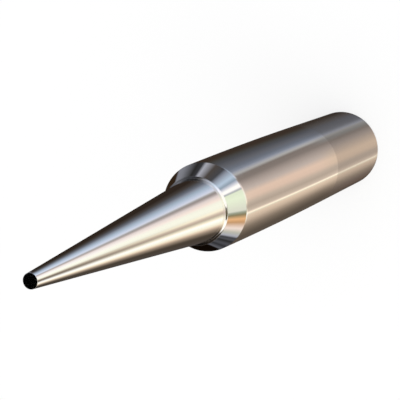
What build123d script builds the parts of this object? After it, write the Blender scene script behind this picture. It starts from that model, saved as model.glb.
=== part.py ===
from build123d import *
import os

# Conical soldering tip, turned from one rod of copper and plated all over.
# Sizes are in millimetres. The tip stands on its rear face, and its axis is Z,
# with the working end upwards.

# The rear land is a plain cylinder. The iron's barrel takes it, under a set screw.
land_diameter = 4.76
land_length = 8.34
rear_edge_radius = 0.12

# In front of the land the shank draws in along one long arc, polished by hand.
draw_in = 0.15
front_length = 14.50

# A short turned bevel ends the shank, with both of its edges lightly broken.
bevel_depth = 0.52
bevel_length = 1.18
bevel_rear_edge_radius = 0.10
bevel_front_edge_radius = 0.03

# A narrow flat shoulder is left round the root of the cone.
shoulder_width = 0.115
root_radius = 0.02

# The cone tapers straight to a small flat, where the solder is worked.
cone_length = 15.98
point_diameter = 0.66
point_edge_radius = 0.03

# Radii and heights that follow from the sizes above, from the rear to the point.
land_radius = land_diameter / 2
front_radius = land_radius - draw_in
shoulder_radius = front_radius - bevel_depth
cone_base_radius = shoulder_radius - shoulder_width
point_radius = point_diameter / 2

front_height = land_length + front_length
shoulder_height = front_height + bevel_length
point_height = shoulder_height + cone_length


def half_section():
    """One half of the tip's section, from the axis outwards, in the XZ plane."""
    with BuildSketch(Plane.XZ) as section:
        with BuildLine():
            rear_face = Line((0, 0), (land_radius, 0))
            land = Line(rear_face @ 1, (land_radius, land_length))
            front = TangentArc(land @ 1, (front_radius, front_height), tangent=land % 1)
            bevel = Line(front @ 1, (shoulder_radius, shoulder_height))
            shoulder = Line(bevel @ 1, (cone_base_radius, shoulder_height))
            cone = Line(shoulder @ 1, (point_radius, point_height))
            point = Line(cone @ 1, (0, point_height))
            Line(point @ 1, rear_face @ 0)
        make_face()
        break_corner(section, rear_face @ 1, rear_edge_radius)
        break_corner(section, front @ 1, bevel_rear_edge_radius)
        break_corner(section, bevel @ 1, bevel_front_edge_radius)
        break_corner(section, shoulder @ 1, root_radius)
        break_corner(section, cone @ 1, point_edge_radius)
    return section.sketch


def break_corner(section, corner, radius):
    """Rounds the section's corner nearest to the given place."""
    nearest = section.vertices().sort_by_distance(corner)[0]
    fillet(nearest, radius=radius)


def soldering_tip():
    """The whole tip, as the lathe leaves it."""
    with BuildPart() as tip:
        add(half_section())
        revolve(axis=Axis.Z)
    return tip.part


os.makedirs("parts", exist_ok=True)
export_step(soldering_tip(), "parts/soldering_tip.step")
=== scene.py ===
import math

import bpy
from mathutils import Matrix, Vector


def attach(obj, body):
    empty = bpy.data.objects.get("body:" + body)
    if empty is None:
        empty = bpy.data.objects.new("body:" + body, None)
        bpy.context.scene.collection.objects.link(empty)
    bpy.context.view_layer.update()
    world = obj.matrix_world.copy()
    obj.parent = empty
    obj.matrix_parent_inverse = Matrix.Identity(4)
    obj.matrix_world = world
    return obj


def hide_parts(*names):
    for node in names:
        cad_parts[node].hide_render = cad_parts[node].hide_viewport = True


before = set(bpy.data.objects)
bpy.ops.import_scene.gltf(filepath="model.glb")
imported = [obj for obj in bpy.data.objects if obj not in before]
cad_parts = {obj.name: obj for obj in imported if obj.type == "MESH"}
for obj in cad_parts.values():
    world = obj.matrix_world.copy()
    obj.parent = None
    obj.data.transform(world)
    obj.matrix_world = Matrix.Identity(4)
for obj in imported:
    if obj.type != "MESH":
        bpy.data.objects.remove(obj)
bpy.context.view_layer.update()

# The camera looks down on the standing tip from 65 degrees above the bench, close enough for the
# cone to spread towards it. It is rolled, so that the cone points to the lower left of the picture.
PICTURE_PX = 400
FOCAL_PX = 1390
SENSOR_MM = 36
TILT_FROM_VERTICAL = 24.97
ROLL = -112.27
CAMERA_PLACE = (0.00041, -0.0289, 0.08507)

camera_data = bpy.data.cameras.new("camera")
camera_data.sensor_width = SENSOR_MM
camera_data.lens = FOCAL_PX * SENSOR_MM / PICTURE_PX
camera_data.clip_start = 0.001
camera_data.clip_end = 10
camera = bpy.data.objects.new("camera", camera_data)
camera.location = CAMERA_PLACE
camera.rotation_mode = "ZYX"
camera.rotation_euler = (math.radians(TILT_FROM_VERTICAL), 0, math.radians(ROLL))
bpy.context.scene.collection.objects.link(camera)
bpy.context.scene.camera = camera
bpy.context.scene.view_settings.view_transform = "Standard"

# The floor is a plain white bench top. It takes the tip's shadow, and for the camera alone it glows,
# so that it turns plain white further out. Reflections leave it out, because they show the studio
# round and below the tip, and it throws no light back, which would make the satin land grainy.
FLOOR_RADIUS = 1.5
FLOOR_COLOUR = (0.92, 0.92, 0.92, 1)
FLOOR_GLOW = 0.7
SHADOW_KEPT_TO = 0.04
ALL_WHITE_FROM = 0.14

floor_mesh = bpy.data.meshes.new("floor")
floor_corners = [(x * FLOOR_RADIUS, y * FLOOR_RADIUS, 0) for x, y in [(-1, -1), (1, -1), (1, 1), (-1, 1)]]
floor_mesh.from_pydata(floor_corners, [], [(0, 1, 2, 3)])
floor = bpy.data.objects.new("floor", floor_mesh)
bpy.context.scene.collection.objects.link(floor)
floor.visible_glossy = False
floor.visible_diffuse = False


def join(node, *sources):
    """Feeds sockets or plain values into a node's inputs, in order, and gives its first output."""
    for socket, source in zip(node.inputs, sources):
        if isinstance(source, bpy.types.NodeSocket):
            node.id_data.links.new(source, socket)
        elif source is not None:
            socket.default_value = source
    return node.outputs[0]


def maths(nodes, operation, *sources):
    """Places one Math node."""
    node = nodes.new("ShaderNodeMath")
    node.operation = operation
    return join(node, *sources)


def fade(nodes, value, start, end, lowest=0.0):
    """A smooth rise from the lowest share to 1 as the value goes from start to end."""
    node = nodes.new("ShaderNodeMapRange")
    node.interpolation_type = "SMOOTHSTEP"
    return join(node, value, start, end, lowest)


floor_paint = bpy.data.materials.new("white bench top")
floor_paint.use_nodes = True
floor_paint.cycles.emission_sampling = "NONE"
nodes, links = floor_paint.node_tree.nodes, floor_paint.node_tree.links
nodes.clear()
paint = nodes.new("ShaderNodeBsdfDiffuse")
paint.inputs["Color"].default_value = FLOOR_COLOUR
glow = nodes.new("ShaderNodeEmission")
away = nodes.new("ShaderNodeVectorMath")
away.operation = "LENGTH"
join(away, nodes.new("ShaderNodeTexCoord").outputs["Object"])
whiteness = fade(nodes, away.outputs["Value"], SHADOW_KEPT_TO, ALL_WHITE_FROM, FLOOR_GLOW)
seen_by_camera = nodes.new("ShaderNodeLightPath").outputs["Is Camera Ray"]
painted = nodes.new("ShaderNodeMixShader")
join(painted, maths(nodes, "MULTIPLY", seen_by_camera, whiteness), paint.outputs[0], glow.outputs[0])
links.new(painted.outputs[0], nodes.new("ShaderNodeOutputMaterial").inputs["Surface"])
floor_mesh.materials.append(floor_paint)

# The studio is in the world, and only the metal's reflections see it: warm cards on one side, cool ones
# on the other, dark drapes behind. Each ring lists degrees round the tip from the camera's side, a tint
# and a brightness. Most of these were measured in the photograph's reflections, then changed.
WALL = (1.27, 1.00, 0.77)
BLUSH = (1.33, 1.00, 0.81)
ROSE = (1.17, 1.00, 0.92)
PEARL = (1.12, 1.00, 1.00)
SAND = (1.21, 1.00, 0.83)
CREAM = (1.08, 1.00, 0.79)
IVORY = (0.98, 1.00, 0.88)
WHITE = (1.00, 1.00, 1.00)
STEEL = (0.95, 1.00, 1.18)
SKY = (0.88, 1.00, 1.27)
AZURE = (0.79, 1.00, 1.27)
LEAF = (0.89, 1.00, 0.79)
OLIVE = (1.15, 1.00, 0.55)
AMBER = (1.72, 1.00, 0.50)
BROWN = (1.45, 1.00, 0.75)
STUDIO_STRENGTH = 1.6

world = bpy.data.worlds.new("studio")
bpy.context.scene.world = world
world.use_nodes = True
nodes, links = world.node_tree.nodes, world.node_tree.links
nodes.clear()

direction = nodes.new("ShaderNodeTexCoord").outputs["Generated"]
split = nodes.new("ShaderNodeSeparateXYZ")
join(split, direction)
east, north = split.outputs[:2]


def degrees_from(place):
    """How far a direction points from one place in the studio."""
    dot = nodes.new("ShaderNodeVectorMath")
    dot.operation = "DOT_PRODUCT"
    join(dot, direction, place)
    return maths(nodes, "MULTIPLY", maths(nodes, "ARCCOSINE", dot.outputs["Value"]), 180 / math.pi)


# Heights in the studio are degrees up from straight below the tip. The high ring and the side ring
# are tilted, so theirs are degrees from a place that leans from there towards the camera's side.
LEAN = 10

from_below = degrees_from((0, 0, -1))
from_lean = degrees_from((0, -math.sin(math.radians(LEAN)), -math.cos(math.radians(LEAN))))
round_tip = maths(nodes, "ARCTAN2", east, maths(nodes, "MULTIPLY", north, -1.0))

# The lowest cards stand a little out of true, so their edges swing round the tip as they rise.
SWING_PER_DEGREE = 0.0215
LEVEL_AT = 22
SWING_ENDS_AT = 27.0
SWINGS_PER_TURN = 2.0

height = maths(nodes, "SUBTRACT", maths(nodes, "MINIMUM", from_below, SWING_ENDS_AT), LEVEL_AT)
wave = maths(nodes, "SINE", maths(nodes, "MULTIPLY", round_tip, SWINGS_PER_TURN))
swing = maths(nodes, "MULTIPLY", wave, height)
swung_round = maths(nodes, "MULTIPLY_ADD", swing, SWING_PER_DEGREE, round_tip)


def ring(cards, turn):
    """One ring of the studio, blended from card to card all the way round."""
    ramp = nodes.new("ShaderNodeValToRGB")
    scale = ramp.color_ramp
    scale.elements.remove(scale.elements[-1])
    for number, (degrees, colour, brightness) in enumerate(cards):
        place = degrees / 360 + 0.5
        card = scale.elements[0] if number == 0 else scale.elements.new(place)
        card.position = place
        card.color = (*[channel * brightness / STUDIO_STRENGTH for channel in colour], 1)
    return join(ramp, maths(nodes, "MULTIPLY_ADD", turn, 0.5 / math.pi, 0.5))


def blended(nodes, share, first, second):
    """Two colours, mixed by the share that the second one has."""
    mix = nodes.new("ShaderNodeMix")
    mix.data_type = "RGBA"
    first_input, second_input = [socket for socket in mix.inputs if socket.type == "RGBA"]
    for socket, source in [(mix.inputs["Factor"], share), (first_input, first), (second_input, second)]:
        if isinstance(source, bpy.types.NodeSocket):
            mix.id_data.links.new(source, socket)
        else:
            socket.default_value = source
    return next(socket for socket in mix.outputs if socket.type == "RGBA")


def over(lower, upper, height, edge):
    """Lays one ring over another. Their edge is soft, from one height to another."""
    return blended(nodes, fade(nodes, height, *edge), lower, upper)


# In the picture the rear land mirrors this ring, the lowest.
land_ring = ring([
    (-180, WHITE, 0.60), (-160, BROWN, 0.055), (-135, BROWN, 0.105), (-120, BLUSH, 0.14),
    (-110, BLUSH, 0.186), (-100, WALL, 0.256), (-92, WALL, 0.34), (-84, WALL, 0.455), (-76, WALL, 0.56),
    (-67, WALL, 0.69), (-64, CREAM, 0.87), (-61.4, CREAM, 1.28), (-59.2, SAND, 0.86), (-56.5, SAND, 0.62),
    (-45, SAND, 0.47), (-36, SAND, 0.48), (-24, WALL, 0.62), (-12, WALL, 0.65), (18, ROSE, 0.36),
    (32, ROSE, 0.225), (42, WHITE, 0.28), (51, WHITE, 0.355), (57, STEEL, 0.38), (62, STEEL, 0.275),
    (70, STEEL, 0.17), (82, STEEL, 0.137), (96, STEEL, 0.118), (112, PEARL, 0.082), (124, ROSE, 0.056),
    (140, BROWN, 0.024), (160, BROWN, 0.024), (180, WHITE, 0.60),
], swung_round)

# The polished shank in front of it mirrors the next one up.
low_ring = ring([
    (-180, WHITE, 0.60), (-170, WALL, 0.085), (-126, WALL, 0.088), (-112, WALL, 0.125), (-100, WALL, 0.185),
    (-92, WALL, 0.265), (-84, WALL, 0.40), (-76, WALL, 0.57), (-67, WALL, 0.70), (-64, CREAM, 0.86),
    (-61.4, CREAM, 1.24), (-59.2, SAND, 0.84), (-56.5, SAND, 0.58), (-45, SAND, 0.455), (-36, SAND, 0.53),
    (-24, BLUSH, 0.66), (-12, BLUSH, 0.69), (2, ROSE, 0.54), (18, ROSE, 0.385), (32, ROSE, 0.235),
    (44, ROSE, 0.212), (51, WHITE, 0.51), (57, STEEL, 0.42), (62, SKY, 0.29), (70, SKY, 0.20),
    (82, STEEL, 0.15), (96, STEEL, 0.095), (108, WHITE, 0.07), (120, WALL, 0.042), (132, BROWN, 0.031),
    (168, BROWN, 0.035), (180, WHITE, 0.60),
], swung_round)

# The cone mirrors these two, the middle one near its foot and the upper one towards its point.
middle_ring = ring([
    (-180, WHITE, 0.60), (-168, ROSE, 0.07), (-116, WALL, 0.06), (-110, WALL, 0.066), (-104, WALL, 0.10),
    (-92, WALL, 0.27), (-86, WALL, 0.43), (-80, WALL, 0.70), (-74, CREAM, 1.03), (-66, IVORY, 1.22),
    (-58, WHITE, 1.30), (-53, CREAM, 1.16), (-46, CREAM, 0.74), (-41.5, SAND, 0.52), (-36, SAND, 0.66),
    (-29, CREAM, 1.14), (-20, IVORY, 1.18), (-12, IVORY, 1.20), (-3, IVORY, 1.16), (5, ROSE, 1.00),
    (17, PEARL, 0.80), (24, PEARL, 0.46), (29, PEARL, 0.32), (34, WHITE, 0.49), (38.5, STEEL, 0.86),
    (45, SKY, 0.78), (58, AZURE, 0.58), (70, SKY, 0.34), (78, SKY, 0.185), (88, STEEL, 0.105),
    (98, ROSE, 0.055), (116, BROWN, 0.022),
], round_tip)
upper_ring = ring([
    (-180, WALL, 0.05), (-116, WALL, 0.05), (-109, WALL, 0.07), (-103, WALL, 0.115), (-97, SAND, 0.19),
    (-91, SAND, 0.335), (-85, SAND, 0.57), (-79, CREAM, 0.92), (-73, CREAM, 1.20), (-66, WHITE, 1.34),
    (-60, WHITE, 1.30), (-55, WHITE, 0.98), (-49, WHITE, 0.52), (-43, SAND, 0.22), (-37, SAND, 0.14),
    (-31, SAND, 0.21), (-25, SAND, 0.49), (-18, IVORY, 1.12), (-10, IVORY, 1.30), (2, WHITE, 1.26),
    (11, WHITE, 1.14), (17, PEARL, 0.97), (23, PEARL, 0.62), (29, WHITE, 0.52), (35, STEEL, 0.79),
    (41, SKY, 0.92), (59, AZURE, 0.64), (71, SKY, 0.38), (83, STEEL, 0.155), (95, WHITE, 0.066),
    (107, WALL, 0.028), (119, BROWN, 0.018),
], round_tip)

# The bevel mirrors the high ring in the picture. The side ring is what the shank and the cone mirror
# when the tip is seen from the side.
high_ring = ring([
    (-126, AMBER, 0.003), (-124, STEEL, 0.14), (-115, STEEL, 0.035), (-108.5, STEEL, 0.10),
    (-100.5, WHITE, 0.025), (-96.5, STEEL, 0.105), (-91.5, STEEL, 0.06), (-87, STEEL, 0.53),
    (-79, IVORY, 0.62), (-70, ROSE, 0.94), (-57, AMBER, 0.40), (-50.5, AMBER, 0.60),
    (-42, OLIVE, 0.27), (-37, LEAF, 0.47), (-34, IVORY, 0.90), (-9, LEAF, 1.14), (3.5, LEAF, 1.06),
    (6, STEEL, 0.44), (10, WHITE, 1.30), (14, WHITE, 1.30), (20, STEEL, 0.78), (25, AZURE, 0.44),
    (33, AZURE, 0.74), (46, SKY, 0.37), (54, STEEL, 0.075), (70, ROSE, 0.075), (87, STEEL, 0.50),
    (93, STEEL, 0.05), (103, WHITE, 0.028), (127, STEEL, 0.25), (137, STEEL, 0.27), (141, AMBER, 0.02),
], round_tip)
side_ring = ring([
    (-180, WHITE, 0.95), (-168, WHITE, 0.90), (-162, STEEL, 0.22), (-136, STEEL, 0.14), (-118, WALL, 0.10),
    (-100, STEEL, 0.12), (-88, STEEL, 0.50), (-72, CREAM, 0.80), (-62, IVORY, 1.15), (-40, WHITE, 1.15),
    (-36, OLIVE, 0.18), (-14, ROSE, 0.20), (-10, WHITE, 1.20), (16, WHITE, 1.20), (26, STEEL, 0.75),
    (38, AZURE, 0.75), (50, SKY, 0.35), (62, STEEL, 0.12), (80, WHITE, 0.10), (90, STEEL, 0.30),
    (100, STEEL, 0.12), (118, STEEL, 0.12), (136, SKY, 0.24), (162, STEEL, 0.28), (168, WHITE, 0.90),
    (180, WHITE, 0.95),
], round_tip)

# From the side, the bevel mirrors the ring above that one. The last two hang overhead: in the picture
# the cone's foot mirrors the foot ring by way of the shoulder, and the shoulder mirrors the top ring.
above_ring = ring([
    (-180, STEEL, 0.55), (-150, WHITE, 0.28), (-120, WALL, 0.20), (-95, SAND, 0.70), (-70, CREAM, 1.20),
    (-30, IVORY, 1.30), (0, WHITE, 1.30), (40, SKY, 0.90), (75, STEEL, 0.35), (110, STEEL, 0.18),
    (150, STEEL, 0.32), (180, STEEL, 0.55),
], round_tip)
foot_ring = ring([
    (-180, WALL, 0.0), (-168, WALL, 0.0), (-160, WALL, 0.02), (-128, WALL, 0.012), (-108, WALL, 0.035),
    (-90, WALL, 0.42), (-72, CREAM, 1.40), (-56, IVORY, 1.50), (-42, ROSE, 0.75), (-35, ROSE, 0.90),
    (-20, IVORY, 1.55), (0, IVORY, 1.45), (20, WHITE, 1.00), (36, STEEL, 0.95), (54, SKY, 1.00),
    (70, SKY, 0.55), (90, STEEL, 0.14), (106, WHITE, 0.018), (140, STEEL, 0.03), (160, STEEL, 0.13),
    (170, STEEL, 0.26), (180, STEEL, 0.26),
], round_tip)
top_ring = ring([
    (-180, WALL, 0.02), (-168, WALL, 0.03), (-156, WHITE, 0.60), (-140, WHITE, 1.60), (-100, WHITE, 1.60),
    (-96, OLIVE, 0.10), (-70, OLIVE, 0.15), (-56, CREAM, 0.22), (-44, WHITE, 0.35), (-40, WHITE, 1.60),
    (20, WHITE, 1.60), (48, STEEL, 1.45), (66, SKY, 1.30), (80, AZURE, 1.10), (105, SKY, 0.68),
    (130, STEEL, 0.37), (142, WHITE, 0.14), (156, WHITE, 0.05), (170, STEEL, 0.03),
], round_tip)

# A black drape hangs overhead, away from the camera, and lies over all the rings. In the picture the
# end flat mirrors its middle, and the far side of the shoulder mirrors its soft edge.
BLACK = (0, 0, 0, 1)
DRAPE_TOWARDS = (0, 0.545, 0.839)
DRAPE_EDGE = (6, 7.5)
LAND_TO_LOW = (19.0, 20.6)
LOW_TO_MIDDLE = (25.6, 26.6)
MIDDLE_TO_UPPER = (33, 42)
UPPER_TO_HIGH = (43, 45)
HIGH_TO_SIDE = (63, 68)
SIDE_TO_ABOVE = (96, 106)
ABOVE_TO_FOOT = (126, 134)
FOOT_TO_TOP = (154.2, 154.9)

studio = over(middle_ring, upper_ring, from_below, MIDDLE_TO_UPPER)
studio = over(low_ring, studio, from_below, LOW_TO_MIDDLE)
studio = over(land_ring, studio, from_below, LAND_TO_LOW)
studio = over(studio, high_ring, from_lean, UPPER_TO_HIGH)
studio = over(studio, side_ring, from_lean, HIGH_TO_SIDE)
studio = over(studio, above_ring, from_below, SIDE_TO_ABOVE)
studio = over(studio, foot_ring, from_below, ABOVE_TO_FOOT)
studio = over(studio, top_ring, from_below, FOOT_TO_TOP)
studio = over(BLACK, studio, degrees_from(DRAPE_TOWARDS), DRAPE_EDGE)

# Only reflections see the studio. Plain light falls on everything, and past the edge of the bench the
# camera sees a white room.
PLAIN_LIGHT = 0.72
ROOM_STRENGTH = 1

seen_in_metal = nodes.new("ShaderNodeBackground")
join(seen_in_metal, studio, STUDIO_STRENGTH)
plain_light = nodes.new("ShaderNodeBackground")
join(plain_light, (1, 1, 1, 1), PLAIN_LIGHT)
white_room = nodes.new("ShaderNodeBackground")
join(white_room, (1, 1, 1, 1), ROOM_STRENGTH)
rays = nodes.new("ShaderNodeLightPath")
lit_or_seen = nodes.new("ShaderNodeMixShader")
join(lit_or_seen, rays.outputs["Is Camera Ray"], plain_light.outputs[0], white_room.outputs[0])
reflected = nodes.new("ShaderNodeMixShader")
join(reflected, rays.outputs["Is Glossy Ray"], lit_or_seen.outputs[0], seen_in_metal.outputs[0])
links.new(reflected.outputs[0], nodes.new("ShaderNodeOutputWorld").inputs["Surface"])

# One broad softbox hangs over the bench and gives the tip its soft shadow.
SOFTBOX_SIZE = 0.5
SOFTBOX_PLACE = (-0.1, -0.15, 0.6)
SOFTBOX_WATTS = 2.0

softbox_data = bpy.data.lights.new("softbox", "AREA")
softbox_data.size = SOFTBOX_SIZE
softbox_data.energy = SOFTBOX_WATTS
softbox = bpy.data.objects.new("softbox", softbox_data)
softbox.location = SOFTBOX_PLACE
softbox.visible_glossy = False
aim = Vector((0, 0, 0)) - softbox.location
softbox.rotation_euler = aim.to_track_quat("-Z", "Y").to_euler()
bpy.context.scene.collection.objects.link(softbox)

# The tip, one rod of copper turned to a shank, a bevel, a shoulder and a long cone, then plated.
# Its section is drawn from the axis outwards, in millimetres, and then turned like work on a lathe.
# The edges are left crisp, because the photograph shows hardly any highlight along them.
MM = 0.001
LAND_RADIUS = 2.38
LAND_LENGTH = 8.34
REAR_EDGE = 0.12
DRAW_IN = 0.15
FRONT_LENGTH = 14.5
BEVEL_DEPTH = 0.52
BEVEL_LENGTH = 1.18
BEVEL_REAR_EDGE = 0.03
BEVEL_FRONT_EDGE = 0.01
SHOULDER_WIDTH = 0.115
ROOT = 0.005
CONE_LENGTH = 15.98
POINT_RADIUS = 0.33
POINT_EDGE = 0.01
COARSE_SPACING = 0.2
FINE_SPACING = 0.06
SHOULDER_SPACING = 0.02
DRAW_IN_STEPS = 60
EDGE_STEPS = 8
STEPS_ROUND = 256
WELD_DISTANCE = 0.5e-6

front_radius = LAND_RADIUS - DRAW_IN
shoulder_radius = front_radius - BEVEL_DEPTH
cone_radius = shoulder_radius - SHOULDER_WIDTH
front_height = LAND_LENGTH + FRONT_LENGTH
shoulder_height = front_height + BEVEL_LENGTH
point_height = shoulder_height + CONE_LENGTH
sweep_radius = (FRONT_LENGTH ** 2 + DRAW_IN ** 2) / (2 * DRAW_IN)


def drawn_in(height):
    """The shank's outline in front of the land, at one height."""
    rise = height - LAND_LENGTH
    return Vector((LAND_RADIUS - sweep_radius + math.sqrt(sweep_radius ** 2 - rise ** 2), height))


def run(start, end, spacing):
    """Points along a straight run, without its two ends."""
    count = max(2, round((end - start).length / spacing))
    return [start.lerp(end, step / count) for step in range(1, count)]


def rounded(before, corner, after, radius):
    """The arc that rounds a corner, drawn from the side of the point before it."""
    back = (before - corner).normalized()
    ahead = (after - corner).normalized()
    half_angle = back.angle(ahead) / 2
    centre = corner + (back + ahead).normalized() * radius / math.sin(half_angle)
    first = corner + back * radius / math.tan(half_angle) - centre
    last = corner + ahead * radius / math.tan(half_angle) - centre
    return [centre + first.slerp(last, step / EDGE_STEPS) * radius for step in range(EDGE_STEPS + 1)]


rear_centre = Vector((0, 0))
rear_corner = Vector((LAND_RADIUS, 0))
land_end = Vector((LAND_RADIUS, LAND_LENGTH))
front_corner = Vector((front_radius, front_height))
shoulder_corner = Vector((shoulder_radius, shoulder_height))
root_corner = Vector((cone_radius, shoulder_height))
point_corner = Vector((POINT_RADIUS, point_height))
point_centre = Vector((0, point_height))

rear_edge = rounded(rear_centre, rear_corner, land_end, REAR_EDGE)
before_front = drawn_in(front_height - COARSE_SPACING)
front_edge = rounded(before_front, front_corner, shoulder_corner, BEVEL_REAR_EDGE)
shoulder_edge = rounded(front_corner, shoulder_corner, root_corner, BEVEL_FRONT_EDGE)
root_edge = rounded(shoulder_corner, root_corner, point_corner, ROOT)
point_edge = rounded(root_corner, point_corner, point_centre, POINT_EDGE)

section = [rear_centre, *run(rear_centre, rear_edge[0], COARSE_SPACING), *rear_edge]
section += [*run(rear_edge[-1], land_end, COARSE_SPACING), land_end]
draw_in_rises = [FRONT_LENGTH * step / DRAW_IN_STEPS for step in range(1, DRAW_IN_STEPS)]
section += [drawn_in(LAND_LENGTH + rise) for rise in draw_in_rises]
section += [*front_edge, *run(front_edge[-1], shoulder_edge[0], FINE_SPACING), *shoulder_edge]
section += [*run(shoulder_edge[-1], root_edge[0], SHOULDER_SPACING), *root_edge]
section += [*run(root_edge[-1], point_edge[0], COARSE_SPACING), *point_edge]
section += [*run(point_edge[-1], point_centre, FINE_SPACING), point_centre]

section_mesh = bpy.data.meshes.new("section")
section_points = [(x * MM, 0, z * MM) for x, z in section]
section_mesh.from_pydata(section_points, [(i, i + 1) for i in range(len(section) - 1)], [])
blank = bpy.data.objects.new("section", section_mesh)
bpy.context.scene.collection.objects.link(blank)

# The plate is bright in front of the rear land and satin on it, where the barrel grips. Very faint
# turning marks run round it, as a grain that is stretched across the axis.
PLATE_COLOUR = (0.80, 0.775, 0.74, 1)
PLATE_ROUGHNESS = 0.06
LAND_COLOUR = (0.617, 0.585, 0.548, 1)
LAND_ROUGHNESS = 0.10
LAND_METAL = 0.90
FINISH_LEAD = 0.03
FINISH_CHANGE = 0.36
MARKS_PER_MM = 7
MARKS_STRETCH = 40
MARKS_DETAIL = 2.0
MARKS_SHADE = 0.03
MARKS_ROUGHNESS = 0.02

plate = bpy.data.materials.new("bright plate")
plate.use_nodes = True
nodes, links = plate.node_tree.nodes, plate.node_tree.links
shader = nodes["Principled BSDF"]
place = nodes.new("ShaderNodeTexCoord").outputs["Object"]
split = nodes.new("ShaderNodeSeparateXYZ")
join(split, place)
finish_start = LAND_LENGTH - FINISH_LEAD
polished = fade(nodes, split.outputs["Z"], finish_start * MM, (finish_start + FINISH_CHANGE) * MM)

stretched = nodes.new("ShaderNodeVectorMath")
stretched.operation = "MULTIPLY"
join(stretched, place, (1 / MARKS_STRETCH, 1 / MARKS_STRETCH, 1))
marks = nodes.new("ShaderNodeTexNoise")
join(marks, stretched.outputs[0], None, MARKS_PER_MM / MM, MARKS_DETAIL)
marked = maths(nodes, "SUBTRACT", marks.outputs[0], 0.5)

shaded = nodes.new("ShaderNodeVectorMath")
shaded.operation = "SCALE"
links.new(blended(nodes, polished, LAND_COLOUR, PLATE_COLOUR), shaded.inputs["Vector"])
links.new(maths(nodes, "MULTIPLY_ADD", marked, MARKS_SHADE, 1.0), shaded.inputs["Scale"])
links.new(shaded.outputs[0], shader.inputs["Base Color"])

roughness = nodes.new("ShaderNodeMapRange")
join(roughness, polished, 0.0, 1.0, LAND_ROUGHNESS, PLATE_ROUGHNESS)
marked_roughness = maths(nodes, "MULTIPLY_ADD", marked, MARKS_ROUGHNESS, roughness.outputs[0])
links.new(marked_roughness, shader.inputs["Roughness"])
bare_metal = nodes.new("ShaderNodeMapRange")
join(bare_metal, polished, 0.0, 1.0, LAND_METAL, 1.0)
links.new(bare_metal.outputs[0], shader.inputs["Metallic"])

# The lathe wraps a flat grid round the axis: each of its rows takes one point of the section, and
# each of its columns one step of the turn. The seam and both ends are then welded shut.
lathe = bpy.data.node_groups.new("lathe", "GeometryNodeTree")
lathe.is_modifier = True
lathe.interface.new_socket("Section", in_out="INPUT", socket_type="NodeSocketGeometry")
lathe.interface.new_socket("Steps Round", in_out="INPUT", socket_type="NodeSocketInt")
lathe.interface.new_socket("Weld Distance", in_out="INPUT", socket_type="NodeSocketFloat")
lathe.interface.new_socket("Plate", in_out="INPUT", socket_type="NodeSocketMaterial")
lathe.interface.new_socket("Turned", in_out="OUTPUT", socket_type="NodeSocketGeometry")
nodes, links = lathe.nodes, lathe.links
chuck = nodes.new("NodeGroupInput").outputs

size = nodes.new("GeometryNodeAttributeDomainSize")
size.component = "MESH"
links.new(chuck["Section"], size.inputs["Geometry"])
ring_points = maths(nodes, "ADD", chuck["Steps Round"], 1.0)
grid = nodes.new("GeometryNodeMeshGrid")
links.new(size.outputs["Point Count"], grid.inputs["Vertices X"])
links.new(ring_points, grid.inputs["Vertices Y"])

index = nodes.new("GeometryNodeInputIndex").outputs[0]
along = maths(nodes, "FLOOR", maths(nodes, "DIVIDE", maths(nodes, "ADD", index, 0.5), ring_points))
turn = maths(nodes, "SUBTRACT", index, maths(nodes, "MULTIPLY", along, ring_points))
angle = maths(nodes, "DIVIDE", maths(nodes, "MULTIPLY", turn, 2 * math.pi), chuck["Steps Round"])
pick = nodes.new("GeometryNodeSampleIndex")
pick.data_type = "FLOAT_VECTOR"
links.new(chuck["Section"], pick.inputs["Geometry"])
links.new(nodes.new("GeometryNodeInputPosition").outputs[0], pick.inputs["Value"])
links.new(along, pick.inputs["Index"])
spin = nodes.new("ShaderNodeVectorRotate")
spin.rotation_type = "Z_AXIS"
links.new(pick.outputs[0], spin.inputs["Vector"])
links.new(angle, spin.inputs["Angle"])
wrap = nodes.new("GeometryNodeSetPosition")
links.new(grid.outputs["Mesh"], wrap.inputs["Geometry"])
links.new(spin.outputs[0], wrap.inputs["Position"])

weld = nodes.new("GeometryNodeMergeByDistance")
links.new(wrap.outputs[0], weld.inputs["Geometry"])
links.new(chuck["Weld Distance"], weld.inputs["Distance"])
smooth = nodes.new("GeometryNodeSetShadeSmooth")
links.new(weld.outputs[0], smooth.inputs["Geometry"])
realize = nodes.new("GeometryNodeRealizeInstances")
links.new(smooth.outputs[0], realize.inputs["Geometry"])
plated = nodes.new("GeometryNodeSetMaterial")
links.new(realize.outputs[0], plated.inputs["Geometry"])
links.new(chuck["Plate"], plated.inputs["Material"])
links.new(plated.outputs[0], nodes.new("NodeGroupOutput").inputs["Turned"])

turning = blank.modifiers.new("lathe", "NODES")
turning.node_group = lathe
settings = {
    "Steps Round": STEPS_ROUND,
    "Weld Distance": WELD_DISTANCE,
    "Plate": plate,
}
for item in lathe.interface.items_tree:
    if item.name in settings:
        turning[item.identifier] = settings[item.name]
bpy.context.view_layer.update()
evaluated = blank.evaluated_get(bpy.context.evaluated_depsgraph_get())
tip_mesh = bpy.data.meshes.new_from_object(evaluated)
tip_mesh.name = "turned tip"
tip_mesh.materials.pop(index=0)
bpy.data.objects.remove(blank)
tip = bpy.data.objects.new("turned_tip", tip_mesh)
bpy.context.scene.collection.objects.link(tip)

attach(tip, "root")
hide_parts("soldering_tip")
